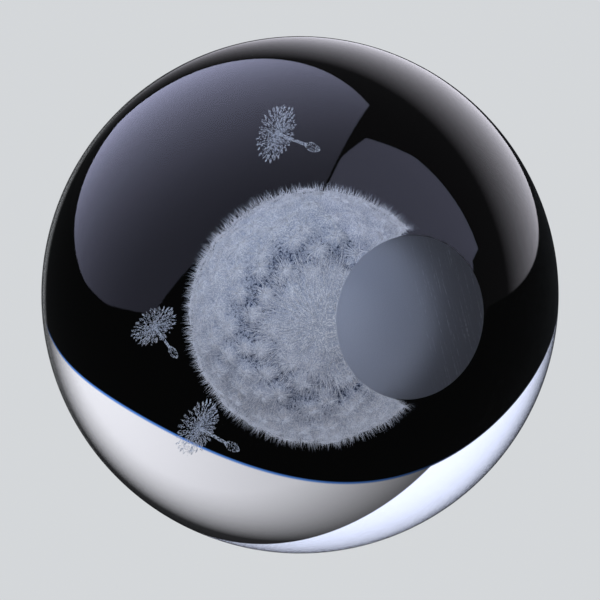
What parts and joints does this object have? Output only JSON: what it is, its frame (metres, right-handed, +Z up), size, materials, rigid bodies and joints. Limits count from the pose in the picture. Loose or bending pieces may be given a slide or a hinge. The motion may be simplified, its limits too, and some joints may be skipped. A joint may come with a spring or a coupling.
{
  "type": "paperweight",
  "caption": "Clear glass ball paperweight with a ground flat foot and a dandelion clock and drifting seeds engraved inside.",
  "frame": {"origin": "centre of the ground flat that the ball stands on", "axes": "+Z up from the ground flat through the ball's centre, with the flat lying on z = 0; -Y is the side the picture's camera is on, below the ball"},
  "size_m": [0.08, 0.08, 0.0783],
  "materials": {
    "crystal": "polished",
    "ground_glass": "matt ground",
    "engraving": "fractured white dots"
  },
  "bodies": {
    "root": {"crystal_ball": "crystal", "ground_foot": "ground_glass", "head_receptacle": "engraving", "head_bracts": "engraving", "head_achenes": "engraving", "head_beaks": "engraving", "head_pappus": "engraving", "drift_a_achene": "engraving", "drift_a_beak": "engraving", "drift_a_pappus": "engraving", "drift_b_achene": "engraving", "drift_b_beak": "engraving", "drift_b_pappus": "engraving", "drift_c_achene": "engraving", "drift_c_beak": "engraving", "drift_c_pappus": "engraving"}
  },
  "joints": []
}
